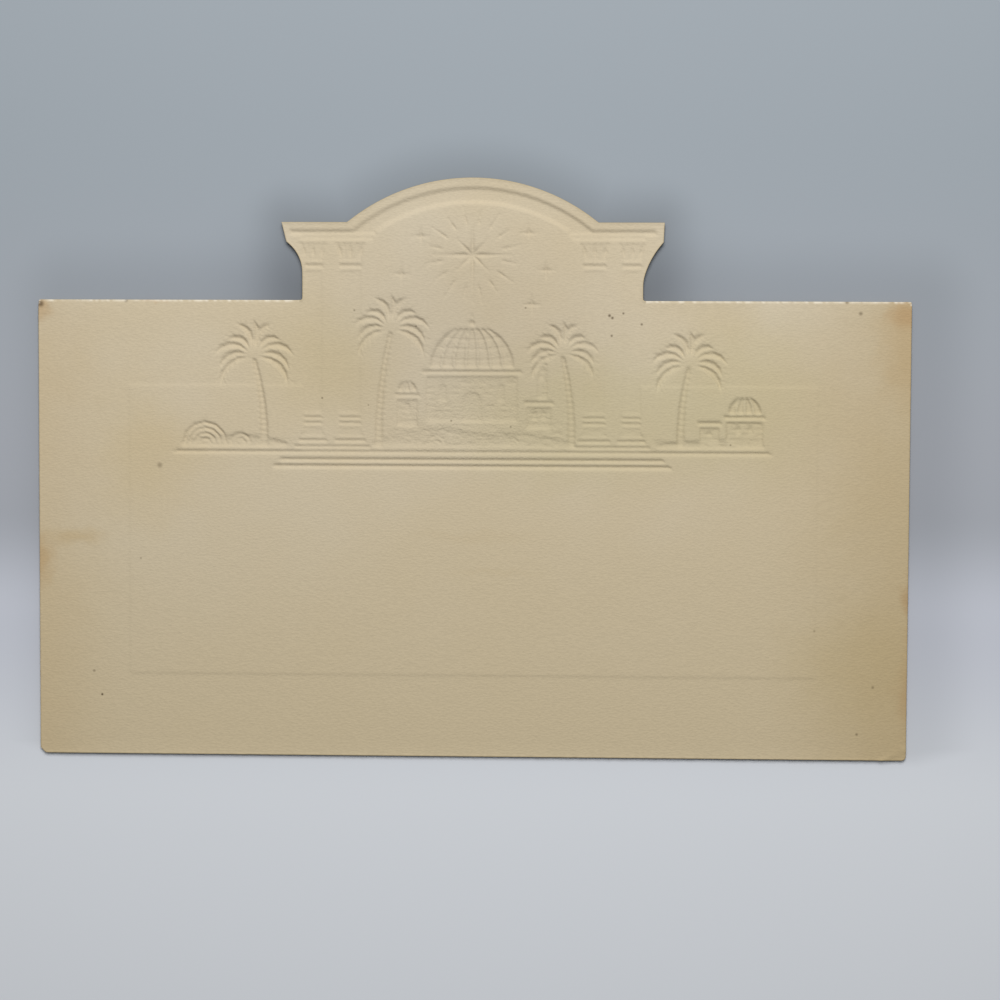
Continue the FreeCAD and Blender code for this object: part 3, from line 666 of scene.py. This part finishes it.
# %% Build the press
def press_tree():
    tree = bpy.data.node_groups.new("press", "GeometryNodeTree")
    names = {}
    for name, kind in (("Sheet", "Geometry"), ("Die", "Object"), ("Fine Lines", "Object"),
                       ("Drop From", "Float"), ("Stiffness", "Float"), ("Line Reach", "Float")):
        names[name] = tree_input(tree, name, kind).identifier
    tree.interface.new_socket(name="Sheet", in_out="OUTPUT", socket_type="NodeSocketGeometry")
    given = add(tree, "NodeGroupInput").outputs
    position = add(tree, "GeometryNodeInputPosition").outputs[0]
    spot = add(tree, "ShaderNodeSeparateXYZ", inputs={0: position})
    above = add(tree, "ShaderNodeCombineXYZ",
                inputs={"X": spot.outputs["X"], "Y": spot.outputs["Y"], "Z": given["Drop From"]})
    back_way = add(tree, "ShaderNodeMath", {"operation": "MULTIPLY"},
                   {0: given["Drop From"], 1: -1.0})
    way = add(tree, "ShaderNodeCombineXYZ", inputs={"Z": back_way.outputs[0]})
    ray_length = 0.1            # long enough to reach through the sheet, m
    die = add(tree, "GeometryNodeObjectInfo", inputs={"Object": given["Die"]})
    ray = add(tree, "GeometryNodeRaycast", inputs={
        "Target Geometry": die.outputs["Geometry"], "Source Position": above.outputs[0],
        "Ray Direction": way.outputs[0], "Ray Length": ray_length})
    landed = add(tree, "ShaderNodeSeparateXYZ", inputs={0: ray.outputs["Hit Position"]})
    felted = add(tree, "GeometryNodeBlurAttribute", {"data_type": "FLOAT"},
                 {"Value": landed.outputs["Z"], "Iterations": 1, "Weight": given["Stiffness"]})
    lines = add(tree, "GeometryNodeObjectInfo", inputs={"Object": given["Fine Lines"]})
    nearest = add(tree, "GeometryNodeProximity", {"target_element": "EDGES"},
                  {"Geometry": lines.outputs["Geometry"]})
    pull = add(tree, "ShaderNodeMapRange", {"interpolation_type": "SMOOTHSTEP"}, {
        "Value": nearest.outputs["Distance"], "From Min": 0.0, "From Max": given["Line Reach"],
        "To Min": 1.0, "To Max": 0.0})
    line_depth = add(tree, "ShaderNodeSeparateXYZ", inputs={0: nearest.outputs["Position"]})
    sunk = add(tree, "ShaderNodeMath", {"operation": "MULTIPLY_ADD"},
               {0: pull.outputs["Result"], 1: line_depth.outputs["Z"], 2: felted.outputs["Value"]})
    rested = add(tree, "ShaderNodeMath", {"operation": "MAXIMUM"}, {0: sunk.outputs[0], 1: 0.0})
    place = add(tree, "ShaderNodeCombineXYZ",
                inputs={"X": spot.outputs["X"], "Y": spot.outputs["Y"], "Z": rested.outputs[0]})
    moved = add(tree, "GeometryNodeSetPosition",
                inputs={"Geometry": given["Sheet"], "Position": place.outputs[0]})
    smooth = add(tree, "GeometryNodeSetShadeSmooth", inputs={"Geometry": moved.outputs[0]})
    real = add(tree, "GeometryNodeRealizeInstances", inputs={"Geometry": smooth.outputs[0]})
    unpressed = bpy.data.materials.new("unpressed")
    covered = add(tree, "GeometryNodeSetMaterial",
                  inputs={"Geometry": real.outputs[0], "Material": unpressed})
    add(tree, "NodeGroupOutput", inputs={"Sheet": covered.outputs[0]})
    return tree, names


def put_through(tree, names, piece, values):
    """Runs a piece through a tree and gives the finished mesh."""
    modifier = piece.modifiers.new(tree.name, "NODES")
    modifier.node_group = tree
    for name, value in values.items():
        modifier[names[name]] = value
    finished = piece.evaluated_get(bpy.context.evaluated_depsgraph_get())
    mesh = bpy.data.meshes.new_from_object(finished)
    piece.modifiers.remove(modifier)
    return mesh


press, press_names = press_tree()
DROP = 0.01                 # where the rays start, above the sheet or below it, m
settings = {"Die": solid_card, "Fine Lines": engraving, "Line Reach": 0.32 * MM}
from_above = settings | {"Drop From": DROP, "Stiffness": 0.4}
from_below = settings | {"Drop From": -DROP, "Stiffness": 0.8}
back_mesh = put_through(press, press_names, back_blank, from_above)
front_mesh = put_through(press, press_names, front_blank, from_below)
print("points on the back", len(back_mesh.vertices), "on the front", len(front_mesh.vertices))

# %% [markdown]
# ## One closed sheet
# The two faces are joined by the die's cut: a wall whose lips are rounded, and whose middle is
# a little ragged, because a die shears the top of a card and tears the rest. Rings of points
# are laid down the cut one by one, as a bevel would round the pressed walls as well. Handling
# has browned the cut, and its wall is darkened further with painted shade. Along the body's top
# edge handling has rubbed the lip down to pale fibres, painted pale as a highlight as well.
# Both are kept as a number on each point, for the material to read.

# %% Join the faces along the cut
def coordinates(mesh):
    values = np.empty(len(mesh.vertices) * 3)
    mesh.vertices.foreach_get("co", values)
    return values.reshape(-1, 3) / MM


def triangles(mesh):
    mesh.calc_loop_triangles()
    values = np.empty(len(mesh.loop_triangles) * 3, int)
    mesh.loop_triangles.foreach_get("vertices", values)
    return values.reshape(-1, 3)


def lip(turn):
    """How far in and how far down a rounded lip is where it has turned this many degrees."""
    angle = math.radians(turn)
    return RIM_RADIUS * (1 - math.sin(angle)), RIM_RADIUS * (1 - math.cos(angle))


def edge_rings(back_heights, front_heights):
    """Rings of points down the cut, between the two faces' outlines."""
    rings = []
    ragged = np.random.default_rng(7)
    depth = back_heights - front_heights
    for turn in (30, 60, 90):
        inset, drop = lip(turn)
        rings.append((inset, back_heights - drop))
    for share in (0.35, 0.6):
        torn = ragged.normal(0.0, RAGGEDNESS, len(depth))
        rings.append((torn, back_heights - depth * share))
    for turn in (90, 60, 30):
        inset, drop = lip(turn)
        rings.append((inset, front_heights + drop))
    inwards = moved_in(outline, 1.0) - outline
    return [np.column_stack([outline + inwards * np.reshape(inset, (-1, 1)), heights])
            for inset, heights in rings]


print("a lip's inset and drop halfway round", [round(c, 3) for c in lip(45)])

# %% Close the sheet
def closed_sheet():
    """The sheet's points and faces, each point's browning and painted shade, and its fibre
    highlight.
    """
    back, front = coordinates(back_mesh), coordinates(front_mesh)
    turned_up = np.random.default_rng(5).uniform(0.6, 1.3, len(outline))
    beside_neck = np.abs(outline[:, 0]) > NECK + 0.5
    worn_down = beside_neck & (np.abs(outline[:, 1] - BODY_TOP) < 0.6)
    turned_up = np.where(worn_down, -0.8 * turned_up, turned_up)
    back[back_loop, 2] += LIP_RISE * turned_up
    back[back_shoulder, 2] += LIP_RISE * 0.35 * turned_up
    rings = edge_rings(back[back_loop, 2], front[front_loop, 2])
    count = len(outline)
    front_start = len(back)
    ring_start = front_start + len(front)
    points = np.vstack([back, front] + rings)
    loops = [np.array(back_loop)]
    loops += [ring_start + index * count + np.arange(count) for index in range(len(rings))]
    loops.append(front_start + np.array(front_loop))
    faces = [tuple(face) for face in triangles(back_mesh)]
    faces += [tuple(face) for face in triangles(front_mesh) + front_start]
    for upper, lower in zip(loops, loops[1:]):
        following = np.roll(upper, -1), np.roll(lower, -1)
        faces += list(zip(upper, lower, following[1], following[0]))
    # The back's lip is browned; the cut's wall is browned and darkened with painted shade.
    dirt_and_shade = np.zeros(len(points))
    dirt_and_shade[back_loop] = np.where(worn_down, 0.0, LIP_TONE)
    dirt_and_shade[ring_start:] = np.tile(np.where(worn_down, LIP_TONE, CUT_DIRT_AND_SHADE), len(rings))
    # Pale fibres on the rubbed top edge, painted pale as a highlight too.
    pale_fibres_and_highlight = np.random.default_rng(3).uniform(0.0, 1.0, count) ** 1.5
    pale_fibres_and_highlight = np.where(worn_down, pale_fibres_and_highlight, 0.0)
    fray_and_highlight = np.zeros(len(points))
    fray_and_highlight[back_loop] = pale_fibres_and_highlight
    fray_and_highlight[back_shoulder] = pale_fibres_and_highlight * 0.4
    fray_and_highlight[ring_start:ring_start + count] = pale_fibres_and_highlight
    return points, faces, dirt_and_shade, fray_and_highlight


LIP_RISE = 0.085            # the die cuts from the front and turns the back's lip up, mm
RAGGEDNESS = 0.012          # how far the torn middle of the cut strays, mm
LIP_TONE, CUT_DIRT_AND_SHADE = 0.24, 0.8      # how browned the back's lip is, and how dark the cut is with browning and painted shade
sheet_points, sheet_faces, edge_dirt_and_shade, edge_fibre_highlight = closed_sheet()
print("sheet points", len(sheet_points), "faces", len(sheet_faces))

# %% [markdown]
# ## Age and handling
# Years of handling leave marks that are shape, not colour: two corners bent down with a
# crease across each, a third dog-eared, a burr raised along part of the top edge, and a sheet
# that no longer lies dead flat. The relief holds the crown off the table, and the plain parts
# round it settle until their edges all but touch down. A cloth simulation could find that
# shape, but a few smooth functions give the same one on every run.

# %% Bend and wear the sheet
def crease(points, corner, way, distance, bend, ridge):
    """Bends a corner down beyond a line across it, and raises a small ridge on that line."""
    way = np.array(way) / np.linalg.norm(way)
    past = (points[:, :2] - np.array(corner)) @ way + distance
    near = np.hypot(points[:, 0] - corner[0], points[:, 1] - corner[1]) < distance * 4
    lower = np.clip(past / distance, 0, None) ** 1.5 * bend
    fold_width = 0.22
    points[:, 2] -= np.where(near, lower, 0)
    points[:, 2] += np.where(near, np.exp(-(past / fold_width) ** 2) * ridge, 0)


bottom = -half_height
crease(sheet_points, (half_width, bottom), (0.45, -1), distance=1.7, bend=0.10, ridge=0.14)
crease(sheet_points, (-half_width, BODY_TOP), (-1, 0.8), distance=1.9, bend=0.10, ridge=0.10)
crease(sheet_points, (-half_width, bottom), (-1, -1), distance=1.2, bend=0.08, ridge=0.02)

BURR_MIDDLE, BURR_HALF = 40.0, 9.0
on_top_edge = np.abs(sheet_points[:, 1] - BODY_TOP) < 0.35
along_burr = np.exp(-((sheet_points[:, 0] - BURR_MIDDLE) / BURR_HALF) ** 4)
on_lip = on_top_edge & (sheet_points[:, 2] > SHEET_BACK - 0.05)
burr = np.random.default_rng(11).uniform(0.02, 0.07, len(sheet_points))
sheet_points[:, 2] += np.where(on_lip, burr * along_burr, 0)
print("points on the burr", int((on_lip & (along_burr > 0.5)).sum()))

# %% Let the sheet settle
def risen(values, low, high):
    """A smooth rise from nought at low to one at high."""
    share = np.clip((values - low) / (high - low), 0, 1)
    return share * share * (3 - 2 * share)


SETTLING = 0.30             # how far the plain parts sink to the table beside the relief, mm
WAVE = 0.02                 # how far the sheet is off flat either way, mm
towards_foot = risen(-sheet_points[:, 1], 0.0, 42.0)
towards_sides = risen(np.abs(sheet_points[:, 0]), 50.0, 74.0)
sheet_points[:, 2] -= SETTLING * np.maximum(towards_foot, towards_sides)
wave = np.sin(sheet_points[:, 0] / 21.0 + 0.8) * np.cos(sheet_points[:, 1] / 17.0 - 0.3)
sheet_points[:, 2] += WAVE * wave + WAVE
lowest, highest = sheet_points[:, 2].min(), sheet_points[:, 2].max()
print("sheet from", lowest.round(3), "to", highest.round(3), "mm")

# %% Make the mesh
card_mesh = bpy.data.meshes.new("card_sheet")
whole_faces = [tuple(int(index) for index in face) for face in sheet_faces]
card_mesh.from_pydata((sheet_points * MM).tolist(), [], whole_faces)
card_mesh.update()
card_mesh.shade_smooth()
card_mesh.attributes.new("edge_dirt_and_shade", "FLOAT", "POINT").data.foreach_set("value", edge_dirt_and_shade)
card_mesh.attributes.new("edge_fibre_highlight", "FLOAT", "POINT").data.foreach_set("value", edge_fibre_highlight)
card = bpy.data.objects.new("card_sheet", card_mesh)
bpy.context.scene.collection.objects.link(card)
card_mesh.calc_loop_triangles()
print("triangles in the sheet", len(card_mesh.loop_triangles))
for spare in (back_blank, front_blank, engraving):
    bpy.data.objects.remove(spare)

# %% [markdown]
# ## Uncoated cream card
# The real stuff is uncoated board of rag and wood pulp, dried against a felt. It has no shine,
# a fine grain about half a millimetre across, and a cream that has gone browner at its edges
# and foxed in spots, where air and damp reached it. The grain is a bump, because it is far
# shallower than any form that casts a shadow. The stains are soft ellipses whose rims wander,
# and each speck is a dark round spot of bark or dirt.

# %% Where the card is stained
# Each stain: middle, half width and half height in mm, its tint and how strong it is.
STAINS = [
    (76.0, 22.0, 8.5, 15.0, "#EDD5AC", 0.34),       # foxing down the upper right edge
    (75.0, 27.5, 4.5, 4.5, "#E6BE88", 0.36),
    (77.5, -38.5, 5.0, 11.0, "#E9CDB6", 0.40),      # handling stain, lower right
    (67.0, -34.0, 18.0, 15.0, "#F3EFDC", 0.32),
    (76.8, -23.0, 2.4, 9.0, "#E6CDB4", 0.50),
    (-76.5, -16.5, 4.0, 7.0, "#E9D2B0", 0.55),      # lower left edge
    (-70.0, -12.5, 7.0, 2.6, "#F0E4CC", 0.50),
    (-76.2, 28.2, 2.8, 3.4, "#E0C095", 0.42),       # handled corner, upper left
    (-55.5, 29.6, 2.8, 1.1, "#DDB68A", 0.60),
    (0.0, 24.0, 40.0, 30.0, "#F3F2F1", 0.80),       # the middle of the crown, a little darker
    (19.0, 9.0, 34.0, 18.0, "#F3F3E5", 0.90),       # the yellower foot of the picture
    (-25.0, 19.0, 17.0, 15.0, "#FAF9F2", 1.00),
    (47.0, 12.0, 22.0, 22.0, "#F7F7EC", 1.00),      # and the plain card beside it
    (-58.0, 2.0, 14.0, 18.0, "#FBF7EC", 1.00),
    (0.0, -12.0, 15.0, 1.6, "#F5F0E6", 0.20),       # rubbed lines in the middle
    (4.0, -18.0, 11.0, 1.3, "#F6F2E8", 0.20),
]
# Each speck of dirt or bark in the pulp: middle and radius in mm, and how dark it is.
SPECKS = [
    (-65.2, -40.2, 0.32, 0.95), (-66.6, -36.0, 0.40, 0.45), (-54.8, 0.4, 0.75, 0.40),
    (-58.2, -16.0, 0.30, 0.40), (-60.7, 29.2, 0.50, 0.55), (-75.8, 28.6, 0.90, 0.70),
    (67.4, 27.3, 0.55, 0.50), (65.0, 29.3, 0.60, 0.50), (67.6, -46.1, 0.40, 0.50),
    (70.3, -37.8, 0.40, 0.45), (60.0, -28.0, 0.35, 0.35), (23.9, 26.8, 0.42, 0.75),
    (24.4, 26.4, 0.38, 0.75), (26.3, 27.2, 0.32, 0.65), (29.5, 25.3, 0.34, 0.65),
    (24.3, 23.3, 0.34, 0.65), (45.1, 4.4, 0.26, 0.50), (9.3, 28.1, 0.28, 0.50),
    (-9.8, 24.9, 0.26, 0.50), (-3.6, 8.4, 0.28, 0.55), (6.8, 7.4, 0.26, 0.50),
    (-26.2, 12.3, 0.28, 0.60), (-18.1, 11.1, 0.24, 0.45), (-20.6, 27.6, 0.28, 0.50),
]
print("stains", len(STAINS), "specks", len(SPECKS))

# %% Two steps that the card's colour repeats
def outwards(tree, where, x, y, wide, tall):
    """How far out a point is from a spot: nought there, one at an ellipse round it, in mm."""
    shares = add(tree, "ShaderNodeVectorMath", {"operation": "MULTIPLY_ADD"}, {
        0: where, 1: (1 / (wide * MM), 1 / (tall * MM), 0.0), 2: (-x / wide, -y / tall, 0.0)})
    return add(tree, "ShaderNodeVectorMath", {"operation": "LENGTH"},
               {0: shares.outputs["Vector"]}).outputs["Value"]


def laid_over(tree, under, colour, value, low, high, most=1.0, blend="MIX"):
    """Lays a colour over another, from none where a value is low to the most where high."""
    share = add(tree, "ShaderNodeMapRange", {"interpolation_type": "SMOOTHSTEP"},
                {"Value": value, "From Min": low, "From Max": high, "To Min": 0.0,
                 "To Max": most})
    return add(tree, "ShaderNodeMix", {"data_type": "RGBA", "blend_type": blend},
               {0: share.outputs["Result"], 6: under, 7: linear(colour)}).outputs[2]


print("a speck multiplies the cream by", [round(c, 3) for c in linear("#5C4A34")[:3]])

# %% Card material
def card_material():
    made = bpy.data.materials.new("uncoated_cream_card")
    made.use_nodes = True
    tree = made.node_tree
    shader = tree.nodes["Principled BSDF"]
    shader.inputs["Roughness"].default_value = 0.92      # uncoated pulp scatters all it gets
    shader.inputs["IOR"].default_value = 1.47            # cellulose
    shader.inputs["Specular IOR Level"].default_value = 0.25
    place = add(tree, "ShaderNodeTexCoord").outputs["Object"]

    # The cream itself: slow clouds, a browner foot, and sides that are darker.
    clouds = add(tree, "ShaderNodeTexNoise", inputs={
        "Vector": place, "Scale": 1 / (38 * MM), "Detail": 3.0}).outputs["Fac"]
    across_card = add(tree, "ShaderNodeSeparateXYZ", inputs={0: place}).outputs
    ripple = add(tree, "ShaderNodeTexNoise", inputs={
        "Vector": place, "Scale": 1 / (4 * MM), "Detail": 3.0}).outputs["Color"]
    stray = 2.5 * MM        # how far the rim of a stain wanders either way
    sway = add(tree, "ShaderNodeVectorMath", {"operation": "MULTIPLY_ADD"}, {
        0: ripple, 1: (2 * stray, 2 * stray, 0.0), 2: (-stray, -stray, 0.0)}).outputs["Vector"]
    wandering = add(tree, "ShaderNodeVectorMath", {"operation": "ADD"},
                    {0: place, 1: sway}).outputs["Vector"]
    strayed = add(tree, "ShaderNodeSeparateXYZ", inputs={0: wandering}).outputs
    base = laid_over(tree, linear("#BDB19A"), "#BAAC91", clouds, 0.35, 0.65)
    base = laid_over(tree, base, "#B7A88A", across_card["Y"], 30 * MM, -55 * MM)
    base = laid_over(tree, base, "#EAE2CF", strayed["X"], 48 * MM, 80 * MM, 0.8, "MULTIPLY")
    base = laid_over(tree, base, "#F2E9D8", strayed["X"], -60 * MM, -80 * MM, 0.5, "MULTIPLY")

    # The cut, browned and darkened with painted shade, the stains and specks, and the pale
    # fibres of the rubbed lip, which paint a highlight along it too.
    cut_dirt_and_shade = add(tree, "ShaderNodeAttribute", {"attribute_name": "edge_dirt_and_shade"}).outputs["Fac"]
    base = add(tree, "ShaderNodeMix", {"data_type": "RGBA", "blend_type": "MULTIPLY"},
               {0: cut_dirt_and_shade, 6: base, 7: linear("#D2C8A6")}).outputs[2]
    for x, y, wide, tall, colour, strength in STAINS:
        out = outwards(tree, wandering, x, y, wide, tall)
        base = laid_over(tree, base, colour, out, 1.0, 0.1, strength, "MULTIPLY")
    for x, y, radius, strength in SPECKS:
        out = outwards(tree, place, x, y, radius, radius)
        base = laid_over(tree, base, "#5C4A34", out, 1.0, 0.1, strength, "MULTIPLY")
    # Pale fibres along the rubbed top edge, and a painted highlight there.
    pale_fibre_highlight = add(tree, "ShaderNodeAttribute", {"attribute_name": "edge_fibre_highlight"}).outputs["Fac"]
    base = add(tree, "ShaderNodeMix", {"data_type": "RGBA"},
               {0: pale_fibre_highlight, 6: base, 7: linear("#DDD4C2")}).outputs[2]

    # The felt draws the grain out along the sheet: its spots are 0.6 mm wide and 0.3 mm tall.
    drawn_out = add(tree, "ShaderNodeVectorMath", {"operation": "MULTIPLY"},
                    {0: place, 1: (0.80, 1.6, 1.0)}).outputs["Vector"]
    grain = add(tree, "ShaderNodeTexNoise", inputs={
        "Vector": drawn_out, "Scale": 1 / (0.5 * MM), "Detail": 2.5}).outputs["Fac"]
    mottle = add(tree, "ShaderNodeMapRange", {"interpolation_type": "SMOOTHSTEP"}, {
        "Value": grain, "From Min": 0.3, "From Max": 0.7,
        "To Min": 0.975, "To Max": 1.025}).outputs["Result"]
    grey = add(tree, "ShaderNodeCombineColor", inputs={
        name: mottle for name in ("Red", "Green", "Blue")})
    base = add(tree, "ShaderNodeMix", {"data_type": "RGBA", "blend_type": "MULTIPLY"},
               {0: 1.0, 6: base, 7: grey.outputs[0]}).outputs[2]
    tree.links.new(base, shader.inputs["Base Color"])

    # The bump: the grain, a coarser felt mark, and the plate's stipple inside the picture.
    felt_mark = add(tree, "ShaderNodeTexNoise", inputs={
        "Vector": place, "Scale": 1 / (1.3 * MM), "Detail": 1.0}).outputs["Fac"]
    height = add(tree, "ShaderNodeMath", {"operation": "MULTIPLY_ADD"},
                 {0: felt_mark, 1: 0.6, 2: grain}).outputs[0]
    stipple = add(tree, "ShaderNodeTexNoise", inputs={
        "Vector": place, "Scale": 1 / (0.34 * MM), "Detail": 0.0}).outputs["Fac"]
    worked = add(tree, "ShaderNodeMapRange", {"interpolation_type": "SMOOTHSTEP"}, {
        "Value": outwards(tree, wandering, 0.0, 8.0, 24.0, 14.0),
        "From Min": 1.0, "From Max": 0.1, "To Min": 0.0, "To Max": 1.3}).outputs["Result"]
    height = add(tree, "ShaderNodeMath", {"operation": "MULTIPLY_ADD"},
                 {0: stipple, 1: worked, 2: height}).outputs[0]
    bump = add(tree, "ShaderNodeBump", inputs={
        "Strength": 1.0, "Distance": 0.062 * MM, "Height": height})
    tree.links.new(bump.outputs[0], shader.inputs["Normal"])
    return made


card_mesh.materials.clear()
card_mesh.materials.append(card_material())
print("materials", [material.name for material in card_mesh.materials])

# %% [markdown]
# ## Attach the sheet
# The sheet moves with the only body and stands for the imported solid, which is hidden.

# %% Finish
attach(card, "root")
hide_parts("card")
